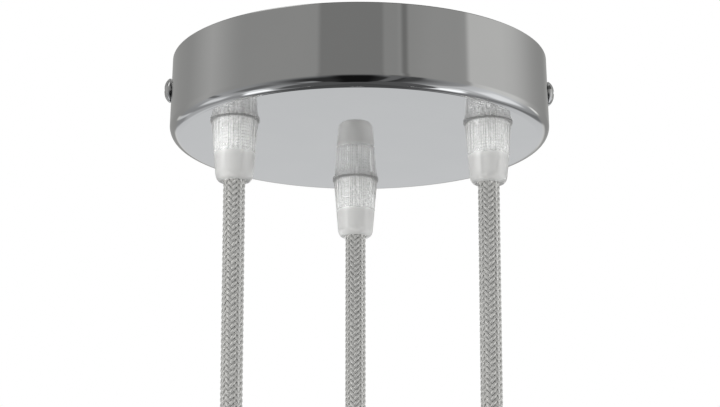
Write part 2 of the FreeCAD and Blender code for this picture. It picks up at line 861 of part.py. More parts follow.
def main():
    os.makedirs("parts", exist_ok=True)
    for name, shape in build().items():
        solids = shape.Solids
        if not solids or not all(s.isValid() and s.Volume > 0 for s in solids):
            raise ValueError(f"{name} is not a valid solid")
        shape.exportStep(os.path.join("parts", name + ".step"))
        print(f"{name}: {len(solids)} solid, {shape.Volume:.1f} mm3")


main()
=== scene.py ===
import math

import bmesh
import bpy
from mathutils import Matrix, Vector


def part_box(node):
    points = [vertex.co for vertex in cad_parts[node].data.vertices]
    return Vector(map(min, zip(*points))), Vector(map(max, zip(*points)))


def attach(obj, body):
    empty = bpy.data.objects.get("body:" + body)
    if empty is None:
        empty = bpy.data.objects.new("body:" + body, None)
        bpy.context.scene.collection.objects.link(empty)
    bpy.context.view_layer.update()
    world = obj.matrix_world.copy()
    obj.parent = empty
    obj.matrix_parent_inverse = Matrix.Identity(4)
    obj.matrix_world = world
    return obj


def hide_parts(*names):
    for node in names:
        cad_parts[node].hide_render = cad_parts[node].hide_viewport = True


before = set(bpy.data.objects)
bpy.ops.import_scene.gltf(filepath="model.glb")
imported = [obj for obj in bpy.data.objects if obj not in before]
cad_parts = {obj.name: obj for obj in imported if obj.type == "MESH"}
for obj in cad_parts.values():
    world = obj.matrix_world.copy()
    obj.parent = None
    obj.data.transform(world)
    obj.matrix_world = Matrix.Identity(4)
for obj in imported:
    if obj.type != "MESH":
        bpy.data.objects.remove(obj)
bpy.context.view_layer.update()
mm = 0.001
print("frame loaded with", len(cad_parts), "nodes")


# Camera and cords

camera = {
    "place": (-0.0225, -0.7634, -0.2506),
    "pitch": 14.99,                 # degrees up from level
    "turn": -1.7,                   # degrees round the upright axis
    "lens": 125.65,
    "sensorWidth": 36,
}
outlets = ("left", "right", "back")
cord = {
    "diameter": 6.6 * mm,
    "coreRadius": 2.45 * mm,        # what shows between the yarns, coloured near-black as painted shade in the gaps
    "straightAfter": 40 * mm,       # a point on the straight run, below the grip
    "roundSteps": 6,
    "lengthSteps": 8,
}


def addObject(name, data):
    piece = bpy.data.objects.new(name, data)
    bpy.context.scene.collection.objects.link(piece)
    return piece


def outletCentre(outlet):
    low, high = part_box("cord_" + outlet)
    return (low.x + high.x) / 2, (low.y + high.y) / 2


def makeCamera():
    data = bpy.data.cameras.new("camera")
    data.lens = camera["lens"]
    data.sensor_width = camera["sensorWidth"]
    seen = addObject("camera", data)
    seen.location = camera["place"]
    upright = 90 + camera["pitch"]
    seen.rotation_euler = (math.radians(upright), 0, math.radians(camera["turn"]))
    bpy.context.scene.camera = seen


def cordLine(outlet):
    x, y = outletCentre(outlet)
    low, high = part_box("cord_" + outlet)
    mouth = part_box("grip_cap_" + outlet)[0].z
    heights = (high.z, mouth - cord["straightAfter"], low.z)
    line = bpy.data.curves.new("cordLine_" + outlet, "CURVE")
    line.dimensions = "3D"
    line.bevel_depth = cord["coreRadius"]
    line.bevel_resolution = cord["roundSteps"]
    line.use_fill_caps = True
    spline = line.splines.new("NURBS")
    spline.points.add(len(heights) - 1)
    for point, z in zip(spline.points, heights):
        point.co = (x, y, z, 1)
    spline.order_u = len(heights)
    spline.use_endpoint_u = True
    spline.resolution_u = cord["lengthSteps"]
    return addObject("cordCore_" + outlet, line), (x, y, mouth), high.z - low.z


makeCamera()
cordPieces = {outlet: cordLine(outlet) for outlet in outlets}
print("camera and cords placed")


# Node helpers

class Signal:
    # a socket that adds math nodes to its tree when it is calculated with
    def __init__(self, tree, socket):
        self.tree = tree
        self.socket = socket

    def apply(self, operation, *others):
        node = self.tree.nodes.new("ShaderNodeMath")
        node.operation = operation
        self.tree.links.new(self.socket, node.inputs[0])
        for other, target in zip(others, node.inputs[1:]):
            if isinstance(other, Signal):
                self.tree.links.new(other.socket, target)
            else:
                target.default_value = other
        return Signal(self.tree, node.outputs[0])

    def __add__(self, other):
        return self.apply("ADD", other)

    def __sub__(self, other):
        return self.apply("SUBTRACT", other)

    def __mul__(self, other):
        return self.apply("MULTIPLY", other)

    def __truediv__(self, other):
        return self.apply("DIVIDE", other)

    def limited(self):
        return self.apply("MAXIMUM", 0.0).apply("MINIMUM", 1.0)

    def zigzag(self):
        # down from 1 to 0 and back up for each whole step
        return (self.apply("FRACT") - 0.5).apply("ABSOLUTE") * 2


def addNode(tree, kind, **settings):
    node = tree.nodes.new(kind)
    for name, value in settings.items():
        setattr(node, name, value)
    return node


def feed(tree, target, value):
    if isinstance(value, Signal):
        tree.links.new(value.socket, target)
    elif isinstance(value, bpy.types.NodeSocket):
        tree.links.new(value, target)
    else:
        target.default_value = value


def geometryTree(name, inputs):
    tree = bpy.data.node_groups.new(name, "GeometryNodeTree")
    sockets = tree.interface
    sockets.new_socket("Geometry", in_out="INPUT", socket_type="NodeSocketGeometry")
    identifiers = {}
    for label, kind in inputs.items():
        socket = sockets.new_socket(label, in_out="INPUT", socket_type="NodeSocket" + kind)
        identifiers[label] = socket.identifier
    sockets.new_socket("Geometry", in_out="OUTPUT", socket_type="NodeSocketGeometry")
    source = addNode(tree, "NodeGroupInput")
    values = {label: Signal(tree, source.outputs[label]) for label in inputs}
    return tree, source, values, identifiers


def named(tree, name):
    node = addNode(tree, "GeometryNodeInputNamedAttribute", data_type="FLOAT")
    node.inputs["Name"].default_value = name
    return Signal(tree, node.outputs["Attribute"])


def store(tree, geometry, name, value):
    node = addNode(tree, "GeometryNodeStoreNamedAttribute", data_type="FLOAT", domain="POINT")
    node.inputs["Name"].default_value = name
    tree.links.new(geometry, node.inputs["Geometry"])
    feed(tree, node.inputs["Value"], value)
    return node.outputs["Geometry"]


def pointIndex(tree):
    return Signal(tree, addNode(tree, "GeometryNodeInputIndex").outputs["Index"])


nudge = 0.0001          # keeps a whole number from being rounded down


def numberedGrid(tree, columns, rows):
    # a grid, with the column and the row of its points
    grid = addNode(tree, "GeometryNodeMeshGrid")
    perColumn = rows + 1
    feed(tree, grid.inputs["Vertices X"], columns + 1)
    feed(tree, grid.inputs["Vertices Y"], perColumn)
    index = pointIndex(tree)
    column = (index / perColumn + nudge).apply("FLOOR")
    return grid.outputs["Mesh"], column, index - column * perColumn


def endTree(tree, geometry, radius, angle, height, values):
    # puts the points round the centre, realizes what is instanced and sets the material
    place = addNode(tree, "ShaderNodeCombineXYZ")
    feed(tree, place.inputs["X"], radius * angle.apply("COSINE"))
    feed(tree, place.inputs["Y"], radius * angle.apply("SINE"))
    feed(tree, place.inputs["Z"], height)
    moved = addNode(tree, "ShaderNodeVectorMath", operation="ADD")
    tree.links.new(place.outputs["Vector"], moved.inputs[0])
    tree.links.new(values["Centre"].socket, moved.inputs[1])
    shaped = addNode(tree, "GeometryNodeSetPosition")
    tree.links.new(geometry, shaped.inputs["Geometry"])
    tree.links.new(moved.outputs["Vector"], shaped.inputs["Position"])
    realized = addNode(tree, "GeometryNodeRealizeInstances")
    painted = addNode(tree, "GeometryNodeSetMaterial")
    out = addNode(tree, "NodeGroupOutput")
    tree.links.new(shaped.outputs["Geometry"], realized.inputs["Geometry"])
    tree.links.new(realized.outputs["Geometry"], painted.inputs["Geometry"])
    tree.links.new(values["Material"].socket, painted.inputs["Material"])
    tree.links.new(painted.outputs["Geometry"], out.inputs["Geometry"])


def grown(name, tree, identifiers, values, points=(), flags=None):
    # runs a tree on a few points and keeps the result as a plain mesh
    seed = bpy.data.meshes.new(name + "Seed")
    seed.from_pydata(points, [], [])
    for flag, numbers in (flags or {}).items():
        attribute = seed.attributes.new(flag, "FLOAT", "POINT")
        attribute.data.foreach_set("value", numbers)
    holder = addObject(name + "Seed", seed)
    modifier = holder.modifiers.new("grow", "NODES")
    modifier.node_group = tree
    for label, value in values.items():
        modifier[identifiers[label]] = value
    depsgraph = bpy.context.evaluated_depsgraph_get()
    mesh = bpy.data.meshes.new_from_object(
        holder.evaluated_get(depsgraph), preserve_all_data_layers=True, depsgraph=depsgraph
    )
    bpy.data.objects.remove(holder)
    mesh.name = name
    return addObject(name, mesh)


def tidyMesh(piece, sharpAngle=35, merge=0.0005 * mm, outward=True):
    shape = bmesh.new()
    shape.from_mesh(piece.data)
    bmesh.ops.remove_doubles(shape, verts=shape.verts, dist=merge)
    bmesh.ops.dissolve_degenerate(shape, edges=shape.edges, dist=merge)
    if outward:
        bmesh.ops.recalc_face_normals(shape, faces=shape.faces)
    shape.to_mesh(piece.data)
    shape.free()
    piece.data.shade_smooth()
    piece.data.set_sharp_from_angle(angle=math.radians(sharpAngle))


def settle(piece, slotName, *replaced):
    if replaced:
        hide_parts(*replaced)
    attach(piece, "root")
    return piece


# Material helpers

def newMaterial(name):
    material = bpy.data.materials.new(name)
    material.use_nodes = True
    tree = material.node_tree
    return material, tree, tree.nodes["Principled BSDF"]


shaderLabels = {
    "metal": "Metallic", "rough": "Roughness", "ior": "IOR", "clear": "Transmission Weight",
    "sheen": "Sheen Weight", "sheenRough": "Sheen Roughness", "specular": "Specular IOR Level",
}


def setShader(shader, **values):
    for key, value in values.items():
        shader.inputs[shaderLabels[key]].default_value = value


def objectNoise(tree, scale, detail=3, stretch=(1, 1, 1)):
    place = addNode(tree, "ShaderNodeTexCoord")
    mapping = addNode(tree, "ShaderNodeMapping")
    mapping.inputs["Scale"].default_value = stretch
    noise = addNode(tree, "ShaderNodeTexNoise")
    noise.inputs["Scale"].default_value = scale
    noise.inputs["Detail"].default_value = detail
    tree.links.new(place.outputs["Object"], mapping.inputs["Vector"])
    tree.links.new(mapping.outputs["Vector"], noise.inputs["Vector"])
    return Signal(tree, noise.outputs["Fac"])


noiseSpan = (0.3, 0.7)          # nearly all of a noise's values lie in it


def between(tree, amount, low, high):
    span = addNode(tree, "ShaderNodeMapRange")
    feed(tree, span.inputs["Value"], amount)
    span.inputs["From Min"].default_value = noiseSpan[0]
    span.inputs["From Max"].default_value = noiseSpan[1]
    span.inputs["To Min"].default_value = low
    span.inputs["To Max"].default_value = high
    return Signal(tree, span.outputs["Result"])


def softStep(tree, value, start, full):
    step = addNode(tree, "ShaderNodeMapRange", interpolation_type="SMOOTHSTEP")
    feed(tree, step.inputs["Value"], value)
    step.inputs["From Min"].default_value = start
    step.inputs["From Max"].default_value = full
    return Signal(tree, step.outputs["Result"])


def blended(tree, amount, low, high):
    # low and high are colours or sockets
    mix = addNode(tree, "ShaderNodeMix", data_type="RGBA")
    ends = {socket.identifier: socket for socket in mix.inputs}
    feed(tree, ends["Factor_Float"], amount)
    for label, value in (("A_Color", low), ("B_Color", high)):
        feed(tree, ends[label], (*value, 1) if isinstance(value, tuple) else value)
    return next(socket for socket in mix.outputs if socket.identifier == "Result_Color")


def addColour(tree, shader, amount, look):
    colour = blended(tree, amount, look["low"], look["high"])
    tree.links.new(colour, shader.inputs["Base Color"])


def addRoughness(tree, shader, amount, look):
    feed(tree, shader.inputs["Roughness"], between(tree, amount, *look["rough"]))


def addBump(tree, shader, height, distance, strength):
    bump = addNode(tree, "ShaderNodeBump")
    bump.inputs["Strength"].default_value = strength
    bump.inputs["Distance"].default_value = distance
    feed(tree, bump.inputs["Height"], height)
    tree.links.new(bump.outputs["Normal"], shader.inputs["Normal"])


# Finishes. A noise has its scale, its detail and, where it isn't even, its stretch.

chromeLook = {
    "low": (0.545, 0.548, 0.555),
    "high": (0.575, 0.575, 0.578),
    "rough": (0.01, 0.035),
    "screwRough": (0.08, 0.2),
    "cloud": (60, 4),
    "ripple": (38, 1, (1, 1, 0.35)),
    "rippleHeight": 0.02 * mm,
    "rippleStrength": 0.25,
}


def chrome(name, look):
    material, tree, shader = newMaterial(name)
    setShader(shader, metal=1.0)
    cloud = objectNoise(tree, *look["cloud"])
    addRoughness(tree, shader, cloud, look)
    addColour(tree, shader, cloud, look)
    ripple = objectNoise(tree, *look["ripple"])
    addBump(tree, shader, ripple, look["rippleHeight"], look["rippleStrength"])
    return material


platedLook = {
    "spangle": (260, 2, (1, 3, 1)),
    "scratch": (1400, 2, (1, 6, 1)),
    "scratchDepth": 0.03 * mm,
    "scratchStrength": 0.3,
}
zincLook = {"low": (0.5, 0.52, 0.53), "high": (0.7, 0.71, 0.69), "rough": (0.28, 0.5)}
tinLook = {"low": (0.62, 0.62, 0.6), "high": (0.78, 0.77, 0.75), "rough": (0.2, 0.35)}


def platedMetal(name, look):
    material, tree, shader = newMaterial(name)
    setShader(shader, metal=1.0)
    spangle = objectNoise(tree, *platedLook["spangle"])
    addRoughness(tree, shader, spangle, look)
    addColour(tree, shader, spangle, look)
    scratch = objectNoise(tree, *platedLook["scratch"])
    addBump(tree, shader, scratch, platedLook["scratchDepth"], platedLook["scratchStrength"])
    return material


brassLook = {
    "low": (0.72, 0.5, 0.2),
    "high": (0.82, 0.62, 0.3),
    "rough": (0.2, 0.4),
    "cloud": (300, 3),
}


def turnedBrass():
    material, tree, shader = newMaterial("turnedBrass")
    setShader(shader, metal=1.0)
    cloud = objectNoise(tree, *brassLook["cloud"])
    addRoughness(tree, shader, cloud, brassLook)
    addColour(tree, shader, cloud, brassLook)
    return material


# the caps are clear in the middle and cloudy at both ends, between these heights
clearLook = {
    "rimFrom": -28.8 * mm,
    "rimTo": -26.8 * mm,
    "rimShare": 0.5,                # the rim is half as cloudy as the foot
    "footFrom": -34.8 * mm,
    "footTo": -38.4 * mm,
    "clearest": 0.84,
    "clearLost": 0.2,
    "smoothest": 0.06,
    "roughGained": 0.38,
    "grain": (420, 3),
    "grainRough": 0.03,
    "low": (0.88, 0.885, 0.88),
    "high": (0.645, 0.645, 0.637),
    "ior": 1.4,
}


def clearPlastic():
    look = clearLook
    material, tree, shader = newMaterial("clearPlastic")
    setShader(shader, ior=look["ior"])
    place = addNode(tree, "ShaderNodeTexCoord")
    split = addNode(tree, "ShaderNodeSeparateXYZ")
    tree.links.new(place.outputs["Object"], split.inputs["Vector"])
    foot = softStep(tree, split.outputs["Z"], look["footFrom"], look["footTo"])
    rim = softStep(tree, split.outputs["Z"], look["rimFrom"], look["rimTo"])
    cloudy = foot.apply("MAXIMUM", rim * look["rimShare"])
    grain = objectNoise(tree, *look["grain"])
    grain = between(tree, grain, -look["grainRough"], look["grainRough"])
    clear = cloudy * -look["clearLost"] + look["clearest"]
    rough = cloudy * look["roughGained"] + grain + look["smoothest"]
    feed(tree, shader.inputs["Transmission Weight"], clear)
    feed(tree, shader.inputs["Roughness"], rough)
    addColour(tree, shader, cloudy, look)
    return material


milkyLook = {
    "low": (0.52, 0.522, 0.518),
    "high": (0.58, 0.58, 0.575),
    "rough": (0.15, 0.3),
    "cloud": (500, 3),
    "clear": 0.15,
    "ior": 1.4,
}


def milkyPlastic():
    look = milkyLook
    material, tree, shader = newMaterial("milkyPlastic")
    setShader(shader, ior=look["ior"], clear=look["clear"])
    cloud = objectNoise(tree, *look["cloud"])
    addRoughness(tree, shader, cloud, look)
    addColour(tree, shader, cloud, look)
    return material


yarnLook = {
    "low": (0.48, 0.48, 0.465),
    "high": (0.71, 0.705, 0.685),
    "rough": (0.26, 0.4),
    "cloud": (900, 3),
    "metal": 0.5,
    "specular": 0.7,
    "sheen": 0.35,
    "sheenRough": 0.3,
    "threads": 5,                   # round each yarn
    "threadHeight": 0.03 * mm,
    "threadStrength": 0.5,
}


def silverYarn():
    look = yarnLook
    material, tree, shader = newMaterial("silverYarn")
    setShader(
        shader, metal=look["metal"], specular=look["specular"],
        sheen=look["sheen"], sheenRough=look["sheenRough"],
    )
    cloud = objectNoise(tree, *look["cloud"])
    addRoughness(tree, shader, cloud, look)
    addColour(tree, shader, cloud, look)
    across = addNode(tree, "ShaderNodeAttribute", attribute_name="yarnTurn")
    threads = (Signal(tree, across.outputs["Fac"]) * (math.tau * look["threads"])).apply("SINE")
    addBump(tree, shader, threads, look["threadHeight"], look["threadStrength"])
    return material


# The core under the braid is near-black: painted shade that darkens the gaps between the yarns.
paintedShadeLook = {
    "low": (0.03, 0.03, 0.028),
    "high": (0.06, 0.06, 0.056),
    "rough": 0.8,
    "cloud": (1500, 3),
}


# near-black core colour, painted shade for the gaps of the braid
def paintedShadeYarn():
    material, tree, shader = newMaterial("paintedShadeYarn")
    setShader(shader, rough=paintedShadeLook["rough"])
    addColour(tree, shader, objectNoise(tree, *paintedShadeLook["cloud"]), paintedShadeLook)
    return material


mouldedLook = {
    "rough": (0.3, 0.45),
    "cloud": (350, 3),
    "grain": (2500, 2),
    "grainHeight": 0.01 * mm,
    "grainStrength": 0.3,
}


def mouldedPlastic(name, low, high, clear=0.0):
    look = {**mouldedLook, "low": low, "high": high}
    material, tree, shader = newMaterial(name)
    setShader(shader, clear=clear)
    cloud = objectNoise(tree, *look["cloud"])
    addRoughness(tree, shader, cloud, look)
    addColour(tree, shader, cloud, look)
    grain = objectNoise(tree, *look["grain"])
    addBump(tree, shader, grain, look["grainHeight"], look["grainStrength"])
    return material


earthLook = {
    "low": (0.05, 0.3, 0.05),
    "high": (0.78, 0.66, 0.03),
    "rough": (0.35, 0.5),
    "cloud": (700, 3),
    "yellowSide": (0.6, 0.5, 0.62),         # the way the yellow side faces
    "yellowFrom": 0.12,
}


def stripedEarth():
    # green and yellow run lengthwise, on opposite sides of the wire
    look = earthLook
    material, tree, shader = newMaterial("stripedEarth")
    normal = addNode(tree, "ShaderNodeNewGeometry")
    split = addNode(tree, "ShaderNodeSeparateXYZ")
    tree.links.new(normal.outputs["Normal"], split.inputs["Vector"])
    x, y, z = (Signal(tree, split.outputs[axis]) for axis in "XYZ")
    alongX, alongY, alongZ = look["yellowSide"]
    side = x * alongX + y * alongY + z * alongZ
    addColour(tree, shader, side.apply("GREATER_THAN", look["yellowFrom"]), look)
    addRoughness(tree, shader, objectNoise(tree, *look["cloud"]), look)
    return material


materials = {
    "chrome": chrome("polishedChrome", chromeLook),
    "screwChrome": chrome("screwChrome", {**chromeLook, "rough": chromeLook["screwRough"]}),
    "zinc": platedMetal("zincSteel", zincLook),
    "tin": platedMetal("tinnedCopper", tinLook),
    "brass": turnedBrass(),
    "clear": clearPlastic(),
    "milky": milkyPlastic(),
    "yarn": silverYarn(),
    # painted shade for the core between the yarns
    "paintedShade": paintedShadeYarn(),
    "sleeve": mouldedPlastic("greySleeve", (0.33, 0.33, 0.33), (0.42, 0.42, 0.42)),
    "brown": mouldedPlastic("brownInsulation", (0.16, 0.07, 0.035), (0.22, 0.1, 0.05)),
    "blue": mouldedPlastic("blueInsulation", (0.02, 0.12, 0.5), (0.04, 0.2, 0.62)),
    "earth": stripedEarth(),
    "block": mouldedPlastic("blockPlastic", (0.74, 0.74, 0.7), (0.84, 0.84, 0.8), clear=0.15),
}
print("materials made:", len(materials))


# Turned pieces: one tree spins a closed profile, with flutes and a thread where it is flagged

turningShape = {
    "fluteSteepness": 8,
    "threadSteepness": 1.5,
    "threadFlat": 0.25,
}
plainTurning = {
    "Flutes": 1.0, "Flute depth": 0.0, "Flute share": 0.5,
    "Thread pitch": 1.0 * mm, "Thread depth": 0.0,
}


def turningTree():
    tree, source, v, identifiers = geometryTree("turning", {
        "Segments": "Int", "Rows": "Int", "Centre": "Vector",
        "Flutes": "Float", "Flute depth": "Float", "Flute share": "Float",
        "Thread pitch": "Float", "Thread depth": "Float", "Material": "Material",
    })
    grid, column, row = numberedGrid(tree, v["Segments"], v["Rows"])
    row = row.apply("MODULO", v["Rows"])
    turn = column / v["Segments"]

    def sampled(kind, value):
        node = addNode(tree, "GeometryNodeSampleIndex", data_type=kind, domain="POINT")
        tree.links.new(source.outputs["Geometry"], node.inputs["Geometry"])
        feed(tree, node.inputs["Value"], value)
        feed(tree, node.inputs["Index"], row + 0.5)
        return node.outputs["Value"]

    point = addNode(tree, "ShaderNodeSeparateXYZ")
    spot = addNode(tree, "GeometryNodeInputPosition").outputs["Position"]
    tree.links.new(sampled("FLOAT_VECTOR", spot), point.inputs["Vector"])
    fluted = Signal(tree, sampled("FLOAT", named(tree, "fluted")))
    threaded = Signal(tree, sampled("FLOAT", named(tree, "threaded")))
    z = Signal(tree, point.outputs["Z"])
    wave = (turn * v["Flutes"]).zigzag()
    groove = ((v["Flute share"] - wave) * turningShape["fluteSteepness"] + 0.5).limited()
    screw = (z / v["Thread pitch"] - turn).zigzag()
    cut = (screw * turningShape["threadSteepness"] - turningShape["threadFlat"]).limited()
    radius = Signal(tree, point.outputs["X"]) + fluted * groove * v["Flute depth"]
    radius = radius - threaded * cut * v["Thread depth"]
    endTree(tree, grid, radius, turn * math.tau, z, v)
    return tree, identifiers


turning = turningTree()


def turned(name, profile, segments, material, centre=(0, 0), flags=None, cuts=None):
    # profile is a closed list of (radius, height), flags say which of its points are fluted
    # or threaded, and cuts give the flutes' or the thread's measures
    tree, identifiers = turning
    unflagged = [0.0] * len(profile)
    values = {
        "Segments": segments, "Rows": len(profile), "Centre": (*centre, 0.0),
        "Material": material, **plainTurning, **(cuts or {}),
    }
    flags = {"fluted": unflagged, "threaded": unflagged, **(flags or {})}
    piece = grown(name, tree, identifiers, values, [(r, 0, z) for r, z in profile], flags)
    tidyMesh(piece)
    return piece


def arc(centre, radius, start, end, steps):
    points = []
    for i in range(steps + 1):
        angle = math.radians(start + (end - start) * i / steps)
        points.append((centre[0] + radius * math.cos(angle), centre[1] + radius * math.sin(angle)))
    return points


easing = {"steps": 2, "sharperThan": 40}


def smoothCopy(node, name, material, slotName, sharpAngle=35, bevel=0.0):
    # a CAD node's own mesh, welded and shaded, with its edges eased
    piece = addObject(name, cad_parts[node].data.copy())
    piece.data.materials.clear()
    piece.data.materials.append(material)
    tidyMesh(piece, sharpAngle, outward=False)
    if bevel:
        ease = piece.modifiers.new("ease", "BEVEL")
        ease.width = bevel
        ease.segments = easing["steps"]
        ease.limit_method = "ANGLE"
        ease.angle_limit = math.radians(easing["sharperThan"])
        ease.harden_normals = True
    return settle(piece, slotName, node)


# Rose cup

roseCup = {
    "wall": 1.0 * mm,
    "edgeRadius": 3.8 * mm,
    "rimDraft": 0.6 * mm,
    "rimEase": 0.2 * mm,
    "segments": 384,
    "edgeSteps": 36,
    "innerEdgeSteps": 12,
    "rimSteps": 4,
    "wallRows": (0.005, 0.03, 0.5, 0.97, 0.995),    # close to both ends, to shade it straight
    "flatRow": 0.5,
    "sharpAngle": 30,
    "cordHoleRadius": 5.2 * mm,
    "cordCutDepth": 6 * mm,
    "screwHoleRadius": 2.2 * mm,
    "screwCutDepth": 8 * mm,
    "screwDrop": 9.5 * mm,
    "holeSegments": 64,
}


def holeCutter(radius, depth, matrix):
    cutter = bmesh.new()
    bmesh.ops.create_cone(
        cutter, cap_ends=True, segments=roseCup["holeSegments"],
        radius1=radius, radius2=radius, depth=depth,
    )
    bmesh.ops.transform(cutter, matrix=matrix, verts=cutter.verts)
    mesh = bpy.data.meshes.new("cutter")
    cutter.to_mesh(mesh)
    cutter.free()
    return addObject("cutter", mesh)


def cupProfile(outer, bottom, top):
    c = roseCup
    wall, edge, ease = c["wall"], c["edgeRadius"], c["rimEase"]
    flat, rim = outer - edge, outer - c["rimDraft"]
    bend = bottom + edge
    rise = top - ease - bend
    profile = [(0, bottom), (flat * c["flatRow"], bottom)]
    profile += arc((flat, bend), edge, -90, 0, c["edgeSteps"])
    profile += [(outer + (rim - outer) * share, bend + rise * share) for share in c["wallRows"]]
    profile += arc((rim - ease, top - ease), ease, 0, 90, c["rimSteps"])
    profile += arc((rim - wall + ease, top - ease), ease, 90, 180, c["rimSteps"])
    profile += arc((flat, bend), edge - wall, 0, -90, c["innerEdgeSteps"])
    profile += [(flat * c["flatRow"], bottom + wall), (0, bottom + wall)]
    return profile


def makeRoseCup():
    low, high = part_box("rose_cup")
    profile = cupProfile(high.x, low.z, high.z)
    cup = turned("roseCup", profile, roseCup["segments"], materials["chrome"])
    cutters = []
    for outlet in outlets:
        spot = Matrix.Translation((*outletCentre(outlet), low.z))
        cutters.append(holeCutter(roseCup["cordHoleRadius"], roseCup["cordCutDepth"], spot))
    sideways = Matrix.Rotation(math.radians(90), 4, "Y")
    for side in (-1, 1):
        spot = Matrix.Translation((side * high.x, 0, -roseCup["screwDrop"])) @ sideways
        cutters.append(holeCutter(roseCup["screwHoleRadius"], roseCup["screwCutDepth"], spot))
    for cutter in cutters:
        cut = cup.modifiers.new("hole", "BOOLEAN")
        cut.operation = "DIFFERENCE"
        cut.solver = "EXACT"
        cut.object = cutter
    depsgraph = bpy.context.evaluated_depsgraph_get()
    holed = bpy.data.meshes.new_from_object(cup.evaluated_get(depsgraph), depsgraph=depsgraph)
    cup.modifiers.clear()
    cup.data = holed
    for cutter in cutters:
        bpy.data.objects.remove(cutter)
    holed.shade_smooth()
    holed.set_sharp_from_angle(angle=math.radians(roseCup["sharpAngle"]))
    settle(cup, "polished_chrome", "rose_cup")


makeRoseCup()
print("rose cup turned")


# Cord grips

gripCap = {
    "flangeThickness": 0.6 * mm,
    "flangeEase": 0.1 * mm,
    "flangeFootEase": 0.08 * mm,
    "neckRadius": 7.15 * mm,
    "neckDrop": 1.5 * mm,
    "tipRadius": 5.85 * mm,
    "tipRound": 3.0 * mm,
    "tipSteps": 9,
    "endRadius": 4.3 * mm,
    "bore": 3.5 * mm,
    "boreEase": 0.15 * mm,
    "crest": 5.03 * mm,
    "topRow": 0.4 * mm,             # one more row of points, just below the top
    "fluteDepth": 0.45 * mm,
    "flutes": 24,
    "fluteShare": 0.57,
    "segmentsPerFlute": 10,
    "seatTop": 10.6 * mm,           # below the cup
    "seatBottom": 16.7 * mm,
    "seatRadius": 3.98 * mm,
}
gripRod = {
    "bore": 3.6 * mm,
    "pitch": 1.0 * mm,
    "threadDepth": 0.5 * mm,
    "rowsPerTurn": 8,
    "segments": 64,
}


def capProfile(top, bottom, outer):
    g = gripCap
    root = g["crest"] + g["fluteDepth"]
    swing = g["tipRadius"] - g["endRadius"]
    flangeFoot = top - g["flangeThickness"]
    seatTop, seatBottom = top - g["seatTop"], top - g["seatBottom"]
    profile = [
        (g["crest"], top), (outer - g["flangeEase"], top), (outer, top - g["flangeEase"]),
        (outer, flangeFoot + g["flangeEase"]), (outer - g["flangeFootEase"], flangeFoot),
        (g["neckRadius"], top - g["neckDrop"]),
    ]
    for i in range(g["tipSteps"] + 1):
        angle = math.radians(90 * i / g["tipSteps"])
        radius = g["endRadius"] + swing * math.cos(angle)
        profile.append((radius, bottom + g["tipRound"] * (1 - math.sin(angle))))
    profile += [
        (g["bore"] + g["boreEase"], bottom), (g["bore"], bottom + g["boreEase"]),
        (g["bore"], seatBottom), (g["seatRadius"], seatBottom), (root, seatTop),
    ]
    # the ribs are on the first point and the last two, along the bore above the seat
    flags = [1.0] + [0.0] * (len(profile) - 1) + [1.0, 1.0]
    profile += [(g["crest"], seatTop), (g["crest"], top - g["topRow"])]
    return profile, flags


def makeGripCap(outlet):
    node = "grip_cap_" + outlet
    low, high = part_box(node)
    profile, flags = capProfile(high.z, low.z, (high.x - low.x) / 2)
    flutes = {
        "Flutes": float(gripCap["flutes"]), "Flute depth": gripCap["fluteDepth"],
        "Flute share": gripCap["fluteShare"],
    }
    cap = turned(
        "gripCap_" + outlet, profile, gripCap["flutes"] * gripCap["segmentsPerFlute"],
        materials["clear"], outletCentre(outlet), {"fluted": flags}, flutes,
    )
    cap.visible_shadow = False      # lamplight reaches what is inside the clear grip
    settle(cap, "clear_plastic", node)


def makeGripRod(outlet):
    node = "grip_rod_" + outlet
    low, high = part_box(node)
    radius = (high.x - low.x) / 2
    length = high.z - low.z
    rows = round(length / gripRod["pitch"] * gripRod["rowsPerTurn"])
    ease = gripRod["threadDepth"]
    profile = [(gripRod["bore"], low.z), (radius - ease, low.z)]
    profile += [(radius, low.z + length * i / rows) for i in range(1, rows)]
    profile += [(radius - ease, high.z), (gripRod["bore"], high.z)]
    flags = [0.0, 0.0] + [1.0] * (rows - 1) + [0.0, 0.0]
    thread = {"Thread pitch": gripRod["pitch"], "Thread depth": gripRod["threadDepth"]}
    rod = turned(
        "gripRod_" + outlet, profile, gripRod["segments"],
        materials["milky"], outletCentre(outlet), {"threaded": flags}, thread,
    )
    settle(rod, "frosted_plastic", node)


for outlet in outlets:
    makeGripCap(outlet)
    makeGripRod(outlet)
    smoothCopy(
        "grip_collet_" + outlet, "gripCollet_" + outlet, materials["milky"], "frosted_plastic"
    )
print("cord grips made")


# Braid over the cords

braid = {
    "lanes": 12,                    # carriers each way
    "pitch": 1.8 * mm,              # height of one diamond
    "meanRadius": 2.83 * mm,
    "wave": 0.34 * mm,
    "yarnWidth": 0.94 * mm,
    "yarnThickness": 0.5 * mm,
    "stepsPerDiamond": 8,
    "sides": 6,
    "tipTaper": 300,                # how fast a yarn narrows at its two ends
    "endGap": 0.2 * mm,
    "sharpAngle": 80,
    "merge": 0.002 * mm,
}


